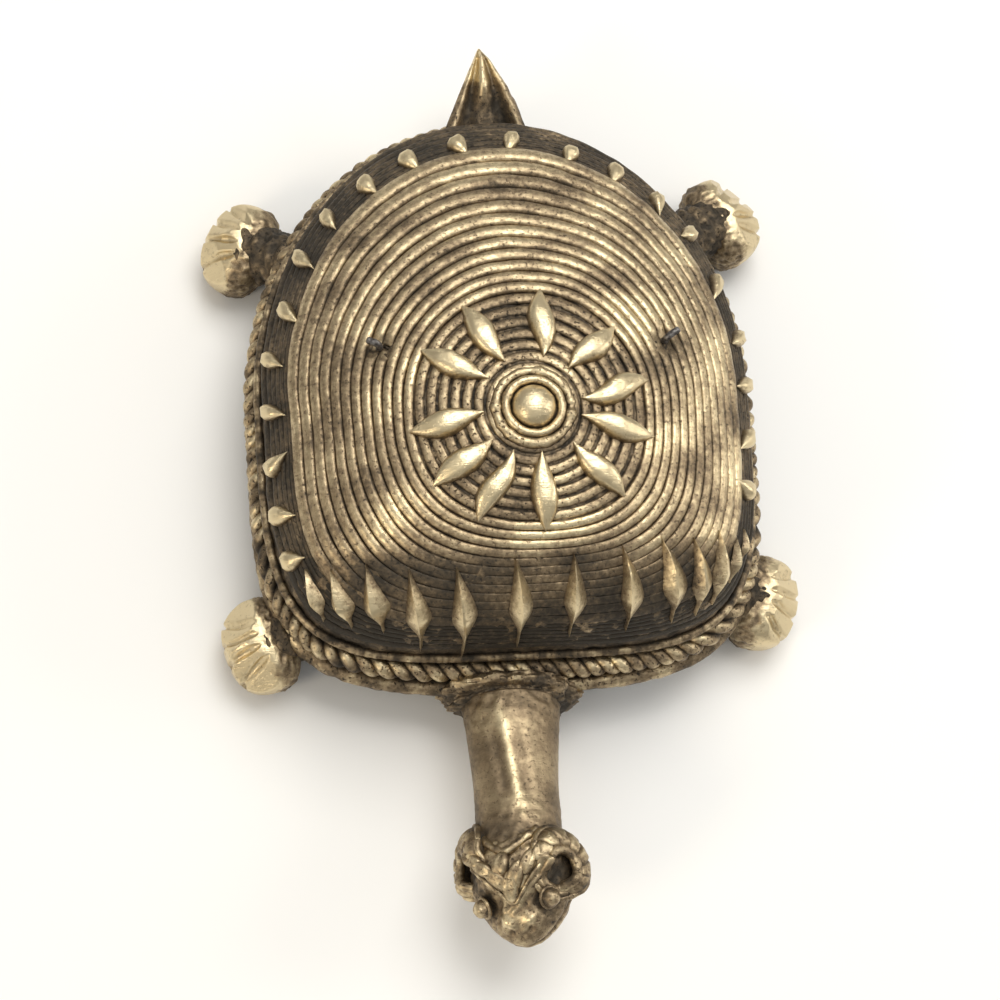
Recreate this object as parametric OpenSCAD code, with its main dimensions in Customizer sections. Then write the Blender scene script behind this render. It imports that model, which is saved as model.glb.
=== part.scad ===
// Tortoise-shaped brass bell, cast by the lost-wax thread method.
// Millimetres. +Z is up, the head points to -Y, the tail to +Y, and the
// four soles stand on z = 0 with the origin under the middle of the bell.

/* [Shell] */
// Half of the shell's width, measured at its ridge thread
shell_half_w = 33.6; // [30:0.2:36]
// Distance from the rosette back to the ridge thread
shell_rear = 47.6; // [45:0.1:50]
// Distance from the rosette forward to the ridge thread
shell_front = 27.7; // [26:0.1:29]
// How square the two front corners are: 2 is an ellipse
front_square = 4.2; // [2.4:0.2:5]
// How far the right side was pressed in, most at its front corner
right_tuck = 2.4; // [0:0.1:3]
// Height of the crown above the table
crown_z = 34; // [31:0.5:37]
// Height of the ridge thread
ridge_z = 14.6; // [13:0.2:16]
// Height of the bell's mouth, the lower edge of the shell
mouth_z = 8.6; // [7.5:0.1:10]
// Thickness of the cast wall
wall = 2.2; // [1.6:0.1:2.8]
// How far the mouth flares out at the sides
flare_side = 0.5; // [0:0.1:1]
// How much further it flares at the front, under the neck
flare_front = 2.6; // [1:0.1:3.5]

/* [Wax threads] */
// Number of thread rings on the shell
ring_count = 14; // [8:1:16]
// Radius of one ring thread
thread_r = 0.72; // [0.5:0.02:0.9]
// Ring position of the innermost thread, from 0 at the crown to 1 at the ridge
ring_inner = 0.2; // [0.16:0.01:0.3]
// Ring position of the outermost thread
ring_outer = 0.89; // [0.8:0.01:0.92]
// Radius of the ridge thread round the shell's foot
ridge_r = 0.85; // [0.6:0.05:1.1]
// Radius of the twisted rope under the ridge
rope_r = 1.55; // [1.2:0.05:1.8]
// Radius of the bead along the mouth
lip_r = 1.25; // [0.9:0.05:1.5]

/* [Ornament] */
// Number of teardrop studs round the sides and the back
stud_count = 21; // [11:1:27]
// Number of leaves along the front
leaf_count = 13; // [7:1:15]
// Direction of each petal, in degrees from +X, as the maker set them
petal_dirs = [79, 42, 10, -15, -47, -87, -118, -143, -171, -211, -240];
// Length and greatest width of a petal
petal_len = 8.6; // [6:0.1:9]
petal_w = 3.3; // [2:0.1:3.4]
// Distance of a petal's middle from the rosette's middle
petal_at = 11; // [10:0.1:12]
// Radius of the domed boss in the middle
boss_r = 3; // [2.4:0.1:3.2]

/* [Neck and head] */
// Narrowest radius of the neck
neck_r = 5.3; // [4.6:0.1:6]
// Length of the neck from collar to head
neck_len = 19; // [16:0.5:20]
// Upward slope of the neck, in degrees
neck_rise = 12; // [6:1:16]
// Sideways lean of the neck, in degrees
neck_lean = -2.8; // [-6:0.2:2]
// Roll of the head towards its left, in degrees
head_roll = 26; // [0:1:30]
// Sideways distance of each horn's middle
horn_x = 6.1; // [5.6:0.1:6.6]
// Upward turn of each horn's outer face, in degrees
horn_tilt = 30; // [20:1:36]
// Radius of a horn's curl
horn_curl = 3.6; // [3:0.1:3.8]
// Radius of the wax roll that a horn is made of
horn_roll = 1.8; // [1.4:0.1:1.9]
// Radius of the muzzle's tip
muzzle_r = 3.5; // [2.6:0.1:3.7]
// Radius of the skull
skull_r = 7.2; // [6.4:0.1:7.6]

/* [Feet and tail] */
// Sideways distance of each sole from the middle
foot_x = 34; // [33:0.2:35]
// Radius of the rounded pad
pad_r = 6.6; // [6:0.1:6.8]
// Reach of the pad from its centre, outwards along the leg
pad_front = 5.6; // [5:0.1:6]
// Reach of the pad from its centre, back towards the leg
pad_back = 4.2; // [3.6:0.1:4.6]
// Reach of the pad's flattened top above its centre
pad_top = 4.6; // [4:0.1:5]
// Lean of each leg away from upright, in degrees
leg_slope = 60; // [50:1:65]
// Length of the two rear legs, from pad to shell
rear_leg = 8.6; // [7:0.1:9]
// Length of the two front legs
front_leg = 4.6; // [4:0.1:6]
// Height of the pad's centre above the table
pad_z = 5.2; // [4.6:0.1:5.6]
// Number of toe grooves on each pad
toe_count = 4; // [3:1:5]
// Length of the tail behind the shell
tail_len = 12.8; // [10:0.1:14]

/* [Clapper] */
// Radius of the iron wire
wire_r = 0.5; // [0.4:0.05:0.6]
// Sideways distance of the two wire holes
hole_x = 18.9; // [17:0.1:20]
// Radius of the wire holes
hole_r = 0.75; // [0.65:0.05:0.9]
// Height of the cross wire inside the bell
cross_z = 25.4; // [24.5:0.1:26]
// Distance from the cross wire down to the middle of the bob
clapper_len = 17.5; // [15:0.5:18]
// Radius of the clapper's bob
bob_r = 4; // [3:0.1:4.5]

/* [Hidden] */
rosette_y = 3.6;               // the rosette sits ahead of the bell's middle
mid_shift = 7;                 // how far the outer rings move back from it
clapper_y = rosette_y + 10;    // the cross wire is under the shell's middle
around = 52;                   // points round a ring
brass = "#b39a63";
bright = "#d8c48a";
dark = "#6b5c3c";
iron = "#5b5a58";
$fn = 40;

// Ring surface. s runs from 0 at the crown to 1 at the ridge thread, t is the
// direction in degrees and out is an outward offset of the whole ring.
function corner(s, t) = sin(t) < 0 ? 2 + (front_square - 2) * s * s : 2;
function bulge(s, t) = pow(pow(abs(cos(t)), corner(s, t)) + pow(abs(sin(t)), corner(s, t)),
                           -1 / corner(s, t));
function reach(s, t) = shell_half_w * s + s * s * s *
    ((sin(t) < 0 ? shell_front + mid_shift : shell_rear - mid_shift) - shell_half_w);
function ring_x(s, t, out = 0) = (shell_half_w * s + out) * bulge(s, t) * cos(t)
    - right_tuck * s * s * max(0, cos(t)) * (1 - sin(t)) / 2;
function ring_y(s, t, out = 0) = rosette_y + mid_shift * s * s * s
    + (reach(s, t) + out) * bulge(s, t) * sin(t);
function dome_z(s) = ridge_z + (crown_z - ridge_z) * sqrt(max(0, 1 - s * s));
function dome(s, t) = [ring_x(s, t), ring_y(s, t), dome_z(s)];
function flare(t) = flare_side + flare_front * pow(max(0, -sin(t)), 3);
// A closed ring of points at height z
function loop(s, out, z) = [for (i = [0:around - 1]) let (t = 360 * i / around)
    [ring_x(s, t, out), ring_y(s, t, out), z]];
// The same at the rim, moved out by a part of the mouth's flare
function flared_loop(part, extra, z) = [for (i = [0:around - 1]) let (t = 360 * i / around)
    [ring_x(1, t, part * flare(t) + extra), ring_y(1, t, part * flare(t) + extra), z]];
// Unit vectors on the dome: outward normal and the way down the slope
function unit(v) = v / norm(v);
function down(s, t) = unit(dome(s + 0.01, t) - dome(s - 0.01, t));
function side(s, t) = unit(dome(s, t + 1) - dome(s, t - 1));
function normal(s, t) = unit(cross(down(s, t), side(s, t)));

// Skin over a list of rings with the same number of points; ends are capped
module skin(rings) {
    n = len(rings[0]);
    last = (len(rings) - 1) * n;
    polyhedron(
        points = [for (r = rings) for (p = r) p],
        faces = concat(
            [[for (j = [n - 1:-1:0]) j]],
            [for (i = [0:len(rings) - 2]) for (j = [0:n - 1]) let (k = (j + 1) % n)
                [i * n + j, i * n + k, (i + 1) * n + j]],
            [for (i = [0:len(rings) - 2]) for (j = [0:n - 1]) let (k = (j + 1) % n)
                [i * n + k, (i + 1) * n + k, (i + 1) * n + j]],
            [[for (j = [0:n - 1]) last + j]]));
}

// Closed tube round a list of points that all lie at one height
module loop_tube(path, r, sides = 6) {
    n = len(path);
    function across(i) = unit(cross(path[(i + 1) % n] - path[(i + n - 1) % n], [0, 0, 1]));
    polyhedron(
        points = [for (i = [0:n - 1]) for (k = [0:sides - 1]) let (a = 360 * k / sides + 30)
            path[i] + r * cos(a) * across(i) + [0, 0, r * sin(a)]],
        faces = [for (i = [0:n - 1]) for (k = [0:sides - 1]) let (m = (i + 1) % n, j = (k + 1) % sides)
            each [[i * sides + k, i * sides + j, m * sides + k],
                  [i * sides + j, m * sides + j, m * sides + k]]]);
}

// Puts children on the dome at (s, t), +Z along the normal and +Y up the slope
module on_dome(s, t, lift = 0, spin = 0) {
    n = normal(s, t);
    y = -down(s, t);
    x = cross(y, n);
    p = dome(s, t) + lift * n;
    multmatrix([[x[0], y[0], n[0], p[0]],
                [x[1], y[1], n[1], p[1]],
                [x[2], y[2], n[2], p[2]],
                [0, 0, 0, 1]])
        rotate([0, 0, spin]) children();
}

// Lens-shaped blade with pointed ends along Y
module blade(length, width, thick) {
    r = (length * length + width * width) / (4 * width);
    translate([0, 0, -thick / 2]) intersection() {
        translate([r - width / 2, 0, 0]) cylinder(r = r, h = thick, $fn = 90);
        translate([width / 2 - r, 0, 0]) cylinder(r = r, h = thick, $fn = 90);
    }
}

// ---- the hollow shell and its threads ----

module carapace_shell() {
    steps = 9;
    outer = [for (i = [1:steps]) let (s = sin(90 * i / steps)) loop(s, 0, dome_z(s))];
    rim = [flared_loop(0.4, 0, ridge_z - 3), flared_loop(1, 0, mouth_z),
           flared_loop(1, -wall, mouth_z), flared_loop(0.4, -wall, ridge_z - 3)];
    inner = [for (i = [steps:-1:1]) let (s = sin(90 * i / steps))
        loop(s, -wall * s, dome_z(s) - wall)];
    color(dark) difference() {
        skin(concat(outer, rim, inner));
        for (m = [-1, 1]) translate([m * hole_x, clapper_y, cross_z])
            cylinder(r = hole_r, h = crown_z - cross_z);
    }
}

module thread_rings() {
    step = (ring_outer - ring_inner) / (ring_count - 1);
    color(brass) for (i = [0:ring_count - 1]) let (s = ring_inner + step * i)
        difference() {
            loop_tube(loop(s, 0.1, dome_z(s) + 0.15), thread_r, 5);
            for (m = [-1, 1]) translate([m * hole_x, clapper_y, cross_z])
                cylinder(r = hole_r + 0.6, h = crown_z - cross_z);
        }
}

module rim_ridge() {
    color(brass) loop_tube(loop(1, 0.35, ridge_z), ridge_r);
}

module rim_rope() {
    color(bright) loop_tube(flared_loop(0.35, 0.55, ridge_z - 2.5), rope_r, 8);
}

module rim_lip() {
    color(brass) loop_tube(flared_loop(1, 0.25, mouth_z + 0.9), lip_r, 8);
}

// Teardrop studs in the band above the ridge, thin end towards the crown
module drop_studs() {
    from = -18;
    step = (180 - 2 * from) / (stud_count - 1);
    color(bright) for (i = [0:stud_count - 1]) on_dome(0.955, from + step * i, 0.35, 12) {
        sphere(r = 1.15);
        rotate([-90, 0, 0]) cylinder(r1 = 1.05, r2 = 0.25, h = 3.1);
    }
}

// Pointed leaves standing along the front, from the ridge up to the rings
module front_leaves() {
    // They crowd together towards the corners, more on the right, where the side is pressed in
    color(bright) for (i = [0:leaf_count - 1])
        let (k = (i - leaf_count / 2 + 1) * 13 / leaf_count, crowd = k < 0 ? 0.04 : 0.06,
             t = -88 + 14 * k * (1 - crowd * abs(k)))
            on_dome(0.84, t, 0.45, -0.8 * (t + 90)) blade(12.4, 2.7, 2.1);
}

// ---- rosette ----

module rosette_petals() {
    color(bright) for (a = petal_dirs)
        on_dome(petal_at / shell_half_w, a, 0.75) blade(petal_len, petal_w, 2);
}

module rosette_outer_ring() {
    color(brass) translate([0, rosette_y, crown_z]) rotate_extrude()
        translate([4.9, 0]) circle(r = 0.75, $fn = 24);
}

module rosette_inner_ring() {
    color(brass) translate([0, rosette_y, crown_z + 0.5]) rotate_extrude()
        translate([3.6, 0]) circle(r = 0.62, $fn = 24);
}

module rosette_boss() {
    color(bright) translate([0, rosette_y, crown_z]) intersection() {
        translate([0, 0, -0.6]) sphere(r = boss_r);
        translate([0, 0, -1]) cylinder(r = 2 * boss_r, h = 2 * boss_r);
    }
}

// ---- tail, neck and head ----

module tail() {
    root_y = rosette_y + shell_rear - 0.5;
    color(brass) translate([0, root_y, ridge_z - 1.6]) rotate([-76, 0, 0]) rotate([0, 0, 30])
        cylinder(r1 = 7, r2 = 0.35, h = tail_len, $fn = 3);
}

// Frame at the root of the neck, +Z along the neck
module along_neck(d = 0) {
    translate([-2, rosette_y - shell_front - flare_front - 1.2, 8.6])
        rotate([90 - neck_rise, 0, neck_lean]) translate([0, 0, d]) children();
}

module neck_collar() {
    color(dark) along_neck(-1) intersection() {
        union() {
            cylinder(r = 9.4, h = 2.2);
            cylinder(r = 7.8, h = 4);
        }
        translate([-10, -6.4, -1]) cube([20, 12.6, 6]);
    }
}

module neck() {
    profile = [[0, 0], [6.7, 0], [6.3, 2], [5.7, 5], [neck_r, 9], [neck_r + 0.1, 13],
               [neck_r + 0.5, 16.5], [neck_r + 1.2, neck_len], [0, neck_len]];
    color(brass) along_neck(2.4) rotate_extrude() polygon(profile);
}

// Frame in the middle of the skull, +Z along the neck, +Y up
module at_head() {
    along_neck(neck_len + 7.6) rotate([0, 0, head_roll]) children();
}

module skull() {
    color(brass) at_head() {
        sphere(r = skull_r);
        translate([0, -0.6, 1]) cylinder(r1 = skull_r - 0.6, r2 = muzzle_r, h = 5);
        translate([0, -0.6, 5.5]) sphere(r = muzzle_r);
    }
}

// Two plaits of wax leaves that meet in a V between the eyes
module brow_braid() {
    color(bright) at_head() for (m = [-1, 1]) for (i = [0:5]) {
        u = i / 5;
        translate([m * (0.9 + 4.6 * u), skull_r - 1.1 - 2 * u * u, 3.6 - 7.4 * u])
            sphere(r = 1.35, $fn = 24);
    }
}

// Curled horn: an arc of thick wax thread on the side of the head
module horn(m) {
    color(brass) at_head() translate([m * horn_x, 2.2, -1.9]) rotate([0, m * 90, m * horn_tilt])
        rotate_extrude() translate([horn_curl, 0]) circle(r = horn_roll, $fn = 24);
}

module horn_left() {
    horn(-1);
}

module horn_right() {
    horn(1);
}

module eye(m) {
    color(bright) at_head() translate([m * 4.9, 3.2, 4.7]) sphere(r = 1.45, $fn = 24);
}

module eye_left() {
    eye(-1);
}

module eye_right() {
    eye(1);
}

// ---- legs ----

// Frame at a foot pad: m is the side, y its place, turn its outward direction
module at_pad(m, y, turn) {
    translate([m * foot_x, y, pad_z]) rotate([0, 0, turn]) children();
}

module leg(m, y, turn, length) {
    color(dark) at_pad(m, y, turn) rotate([0, -leg_slope, 0])
        translate([0, 0, 1.5]) cylinder(r1 = 4.2, r2 = 3.4, h = length);
}

// Rounded pad cut flat underneath, with toe grooves over its outer face
module pad(m, y, turn) {
    color(bright) at_pad(m, y, turn) difference() {
        intersection() {
            sphere(r = pad_r);
            translate([-pad_back, -pad_r, -pad_z]) cube([pad_back + pad_front, 2 * pad_r, pad_z + pad_top]);
        }
        for (i = [0:toe_count - 1]) rotate([0, 0, 24 * (i - (toe_count - 1) / 2)])
            translate([pad_front, 0, pad_top]) rotate([0, -42, 0])
                cylinder(r = 0.7, h = 9, center = true, $fn = 24);
    }
}

front_l = [-1, rosette_y - 22.8, 196];
front_r = [1, rosette_y - 19.6, -16];
rear_l = [-1, rosette_y + 34.0, 152];
rear_r = [1, rosette_y + 36.6, 28];

module leg_front_left() { leg(front_l[0], front_l[1], front_l[2], front_leg); }
module leg_front_right() { leg(front_r[0], front_r[1], front_r[2], front_leg); }
module leg_rear_left() { leg(rear_l[0], rear_l[1], rear_l[2], rear_leg); }
module leg_rear_right() { leg(rear_r[0], rear_r[1], rear_r[2], rear_leg); }
module foot_front_left() { pad(front_l[0], front_l[1], front_l[2]); }
module foot_front_right() { pad(front_r[0], front_r[1], front_r[2]); }
module foot_rear_left() { pad(rear_l[0], rear_l[1], rear_l[2]); }
module foot_rear_right() { pad(rear_r[0], rear_r[1], rear_r[2]); }

// ---- clapper ----

// Iron wire through both holes, its ends bent over on the outside; each bend
// is hammered a little thicker than the wire
module clapper_wire() {
    top = dome_z(hole_x / shell_half_w) + thread_r + wire_r;
    color(iron) translate([0, clapper_y, 0]) {
        translate([-hole_x, 0, cross_z]) rotate([0, 90, 0]) cylinder(r = wire_r, h = 2 * hole_x);
        for (m = [-1, 1]) translate([m * hole_x, 0, 0]) {
            translate([0, 0, cross_z]) cylinder(r = wire_r, h = top - cross_z);
            for (z = [cross_z, top]) translate([0, 0, z]) sphere(r = wire_r + 0.1);
            translate([0, 0, top]) rotate([0, m * 90, 0]) cylinder(r = wire_r, h = 2);
        }
    }
}

// Iron wire hook: an eye round the cross wire, and a straight shank
module clapper_hook() {
    eye_r = wire_r * 2 + 0.3;
    eye_z = cross_z - eye_r + 2 * wire_r + 0.05;
    color(iron) translate([0, clapper_y, 0]) {
        translate([0, 0, eye_z]) rotate([0, 90, 0]) rotate_extrude()
            translate([eye_r, 0]) circle(r = wire_r, $fn = 24);
        translate([0, 0, cross_z - clapper_len]) cylinder(r = wire_r,
            h = clapper_len - (cross_z - eye_z) - eye_r);
    }
}

module clapper_bob() {
    color(brass) translate([0, clapper_y, cross_z - clapper_len]) {
        sphere(r = bob_r);
        cylinder(r1 = bob_r * 0.9, r2 = 0.9, h = bob_r + 3);
    }
}

carapace_shell();
thread_rings();
rim_ridge();
rim_rope();
rim_lip();
drop_studs();
front_leaves();
rosette_petals();
rosette_outer_ring();
rosette_inner_ring();
rosette_boss();
tail();
neck_collar();
neck();
skull();
brow_braid();
horn_left();
horn_right();
eye_left();
eye_right();
leg_front_left();
leg_front_right();
leg_rear_left();
leg_rear_right();
foot_front_left();
foot_front_right();
foot_rear_left();
foot_rear_right();
clapper_wire();
clapper_hook();
clapper_bob();
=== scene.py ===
import math
import bmesh
import bpy
import numpy as np
from mathutils import Matrix, Vector


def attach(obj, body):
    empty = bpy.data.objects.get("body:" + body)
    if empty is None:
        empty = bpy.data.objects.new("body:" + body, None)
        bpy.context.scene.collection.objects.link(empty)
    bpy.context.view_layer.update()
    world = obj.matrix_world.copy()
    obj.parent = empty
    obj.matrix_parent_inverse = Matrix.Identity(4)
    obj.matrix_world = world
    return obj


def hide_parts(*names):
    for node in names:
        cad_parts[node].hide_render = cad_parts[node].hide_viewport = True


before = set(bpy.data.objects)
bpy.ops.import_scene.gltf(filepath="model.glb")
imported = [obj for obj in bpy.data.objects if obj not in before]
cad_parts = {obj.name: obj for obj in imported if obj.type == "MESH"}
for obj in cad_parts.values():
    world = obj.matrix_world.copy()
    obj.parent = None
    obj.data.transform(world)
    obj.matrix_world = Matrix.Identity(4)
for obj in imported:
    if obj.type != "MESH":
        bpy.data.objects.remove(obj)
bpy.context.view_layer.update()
scene = bpy.context.scene

# ---- the view ----
# The bell is looked down on from high in front and a little to its left, with the head
# towards the viewer, through a long lens from far back, so the shell keeps its outline.
view_turn, view_height, view_roll = (math.radians(a) for a in (-28, 71, 24.75))
view_distance = 0.380
towards = Vector((math.sin(view_turn) * math.cos(view_height),
                  -math.cos(view_turn) * math.cos(view_height), math.sin(view_height)))
level = Vector((math.cos(view_turn), math.sin(view_turn), 0))
right = level * math.cos(view_roll) + towards.cross(level) * math.sin(view_roll)
up = towards.cross(right)
aim = Vector((0, 0.0036, 0.020)) - 0.00243 * right - 0.00784 * up
camera = bpy.data.objects.new("camera", bpy.data.cameras.new("camera"))
camera.data.lens = 102.6
camera.data.sensor_width = 36
camera.data.clip_start = 0.01
camera.matrix_world = (Matrix.Translation(aim + towards * view_distance)
                       @ Matrix((right, up, towards)).transposed().to_4x4())
scene.collection.objects.link(camera)
scene.camera = camera

# ---- the table and the light ----
# A plain pale table top under a soft studio light: a wide overhead panel, a lower one on the
# right, a narrow warm one on the left, and a room that is darkest just above the table.
scene.view_settings.view_transform = "Standard"
table_half, table_z = 30.0, -0.00004
table = bpy.data.meshes.new("table")
table_corners = [(x * table_half, y * table_half, table_z) for x, y in ((-1, -1), (1, -1), (1, 1), (-1, 1))]
table.from_pydata(table_corners, [], [(0, 1, 2, 3)])
table_top = bpy.data.objects.new("table", table)
scene.collection.objects.link(table_top)


def add_node(tree, kind, inputs, **settings):
    """A shader node with its settings, and its inputs given as values or as sockets to link."""
    new = tree.nodes.new("ShaderNode" + kind)
    for key, value in settings.items():
        setattr(new, key, value)
    for key, value in inputs.items():
        if isinstance(value, bpy.types.NodeSocket):
            tree.links.new(value, new.inputs[key])
        else:
            new.inputs[key].default_value = value
    return new


def ramp(tree, value, stops):
    """A colour ramp with (position, colour) stops."""
    new = add_node(tree, "ValToRGB", {0: value})
    marks = new.color_ramp.elements
    while len(marks) < len(stops):
        marks.new(0.5)
    for mark, (position, colour) in zip(marks, stops):
        mark.position = position
        mark.color = (*colour, 1)
    return new.outputs[0]


# From underneath the table top is clear, so that the hollow of the bell can be looked into,
# and so is the film of it that the soles touch; far from the bell it turns into the pale
# backdrop, so that it has no visible edge.
paint = bpy.data.materials.new("pale_table")
paint.use_nodes = True
floor = paint.node_tree
matt = floor.nodes["Principled BSDF"]
matt.inputs["Base Color"].default_value = (0.92, 0.92, 0.91, 1)
matt.inputs["Roughness"].default_value = 0.7
fade_from, fade_to, film = 0.12, 0.60, 0.0003
where = add_node(floor, "NewGeometry", {}).outputs
away = add_node(floor, "VectorMath", {0: where["Position"]}, operation="LENGTH").outputs["Value"]
far = add_node(floor, "MapRange", {"Value": away, "From Min": fade_from, "From Max": fade_to},
               interpolation_type="SMOOTHSTEP").outputs["Result"]
glow = add_node(floor, "Emission", {"Color": (0.94, 0.94, 0.93, 1)}).outputs[0]
top_or_backdrop = add_node(floor, "MixShader", {0: far, 1: matt.outputs[0], 2: glow}).outputs[0]
ray_length = add_node(floor, "LightPath", {}).outputs["Ray Length"]
touching = add_node(floor, "Math", {0: ray_length, 1: film}, operation="LESS_THAN").outputs[0]
seen_through = add_node(floor, "Math", {0: where["Backfacing"], 1: touching}, operation="MAXIMUM").outputs[0]
clear = add_node(floor, "BsdfTransparent", {}).outputs[0]
shown = add_node(floor, "MixShader", {0: seen_through, 1: top_or_backdrop, 2: clear}).outputs[0]
floor.links.new(shown, floor.nodes["Material Output"].inputs["Surface"])
table.materials.append(paint)

room = bpy.data.worlds.new("room")
room.use_nodes = True
scene.world = room
sky = room.node_tree
direction = add_node(sky, "TexCoord", {}).outputs["Generated"]
steepness = add_node(sky, "SeparateXYZ", {0: direction}).outputs["Z"]
upright = add_node(sky, "MapRange", {"Value": steepness, "From Min": -1.0}).outputs["Result"]
shade = ramp(sky, upright, [(0.0, (0.62, 0.60, 0.57)), (0.50, (0.30, 0.28, 0.25)),
                            (0.525, (0.16, 0.14, 0.12)), (0.875, (0.80, 0.80, 0.78))])
seen = add_node(sky, "LightPath", {}).outputs["Is Camera Ray"]
backdrop = add_node(sky, "Mix", {"Factor": seen, "A": shade, "B": (1.26, 1.26, 1.25, 1)}, data_type="RGBA")
sky.links.new(backdrop.outputs["Result"], sky.nodes["Background"].inputs["Color"])
sky.nodes["Background"].inputs["Strength"].default_value = 0.75
bell_middle = Vector((0, 0, 0.02))


def panel(name, place, size, power, colour):
    """A square soft light of that size in metres at that place, facing the bell."""
    lamp = bpy.data.lights.new(name, "AREA")
    lamp.size = size
    lamp.energy = power
    lamp.color = colour
    holder = bpy.data.objects.new(name, lamp)
    back = (Vector(place) - bell_middle).normalized()
    holder.matrix_world = Matrix.Translation(place) @ back.to_track_quat("Z", "Y").to_matrix().to_4x4()
    scene.collection.objects.link(holder)


panel("overhead_panel", (0.12, 0.30, 0.75), 0.55, 4.0, (1.0, 0.97, 0.92))
panel("right_panel", (0.70, 0.05, 0.35), 0.30, 1.4, (1.0, 0.96, 0.90))
panel("left_panel", (-0.60, -0.35, 0.40), 0.20, 1.5, (1.0, 0.86, 0.66))

# ---- carapace_shell ----
# The hollow bell itself, one brass casting 2.2 mm thick with a flared mouth. Its ground
# was smooth wax, so it is a finely pitted skin that has gone dark where nothing rubs it.
MM = 0.001
shell_half_w, shell_rear, shell_front, right_tuck = 33.6, 47.6, 27.7, 2.4
front_square, crown_z, ridge_z, mouth_z, wall = 4.2, 34.0, 14.6, 8.6, 2.2
rosette_y, mid_shift, flare_side, flare_front = 3.6, 7.0, 0.5, 2.6
wire_holes = np.array([[-18.9, 13.6], [18.9, 13.6]])
hole_r, sunk = 0.8, 0.12


def around(count):
    """That many angles, evenly round a full turn."""
    return np.arange(count) * 2 * np.pi / count


def ring_point(s, t, out, z):
    """A point of ring s (0 crown, 1 ridge) in direction t: a superellipse whose centre moves
    back by mid_shift times s cubed, whose front corners get squarer with s squared, and whose
    right side is pressed in, most towards the front."""
    s, t, out, z = np.broadcast_arrays(s, t, out, z)
    ahead = np.sin(t) < 0
    corner = np.where(ahead, 2 + (front_square - 2) * s ** 2, 2.0)
    bulge = (abs(np.cos(t)) ** corner + abs(np.sin(t)) ** corner) ** (-1 / corner)
    far = np.where(ahead, shell_front + mid_shift, shell_rear - mid_shift)
    reach = shell_half_w * s + s ** 3 * (far - shell_half_w)
    tuck = right_tuck * s ** 2 * np.maximum(0, np.cos(t)) * (1 - np.sin(t)) / 2
    return np.stack([(shell_half_w * s + out) * bulge * np.cos(t) - tuck,
                     rosette_y + mid_shift * s ** 3 + (reach + out) * bulge * np.sin(t), z], -1)


def dome(s, t):
    """The shell's outer surface: ring s at the height of a quarter ellipse."""
    return ring_point(s, t, 0.0, ridge_z + (crown_z - ridge_z) * np.sqrt(np.maximum(0, 1 - s * s)))


def flare(t):
    """How far the mouth flares out in direction t: a little at the sides, more at the front."""
    return flare_side + flare_front * np.maximum(0, -np.sin(t)) ** 3


def unit(v):
    """Vectors scaled to length one."""
    return v / np.linalg.norm(v, axis=-1, keepdims=True)


def dome_axes(s, t):
    """Three unit vectors on the dome: sideways along the ring, down the slope, and outwards,
    from small differences of the surface and their cross product."""
    step = 0.004
    s = np.clip(s, 0.02, 1 - 2 * step)
    down = unit(dome(s + step, t) - dome(s - step, t))
    side = unit(dome(s, t + step) - dome(s, t - step))
    return side, down, unit(np.cross(down, side))


def wander(p, size, seed, waves=14):
    """Smooth uneven noise from about -1 to 1: the mean of cosine waves, each about `size` mm
    long, that run in seeded directions."""
    draw = np.random.default_rng(seed)
    k = unit(draw.normal(size=(waves, 3))) * (2 * np.pi / size) * draw.uniform(0.6, 1.5, (waves, 1))
    return np.cos(p @ k.T + draw.uniform(0, 2 * np.pi, waves)).sum(-1) * 0.75 * math.sqrt(2 / waves)


def ease(x, low, high):
    """0 below low, 1 above high, and a smooth S between them."""
    x = np.clip((x - low) / (high - low), 0, 1)
    return x * x * (3 - 2 * x)


def hole_distance(points):
    """How far points lie, seen from above, from the nearer of the two wire holes."""
    return np.linalg.norm(points[..., None, :2] - wire_holes, axis=-1).min(-1)


def grid_faces(rows, cols, closed_rows):
    """Quads between neighbouring rows and columns of a grid of points, as vertex numbers; the
    columns always run round, and the rows do where they are closed."""
    r = np.arange(rows if closed_rows else rows - 1)[:, None]
    c = np.arange(cols)[None, :]
    r2, c2 = (r + 1) % rows, (c + 1) % cols
    return np.stack([r * cols + c, r * cols + c2, r2 * cols + c2, r2 * cols + c], -1).reshape(-1, 4)


def outward(points, faces):
    """The faces turned so that the closed form's volume, a sum of corner tetrahedra, is positive."""
    a, b, c, d = (points[faces[:, i]] for i in range(4))
    volume = (np.cross(a, b) * c).sum() + (np.cross(a, c) * d).sum()
    return faces if volume > 0 else faces[:, ::-1]


def weld(mesh):
    """Merges points that lie in the same place, so that a row of them becomes one pole."""
    work = bmesh.new()
    work.from_mesh(mesh)
    bmesh.ops.remove_doubles(work, verts=work.verts, dist=0.002 * MM)
    work.to_mesh(mesh)
    work.free()
    mesh.update()


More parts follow.
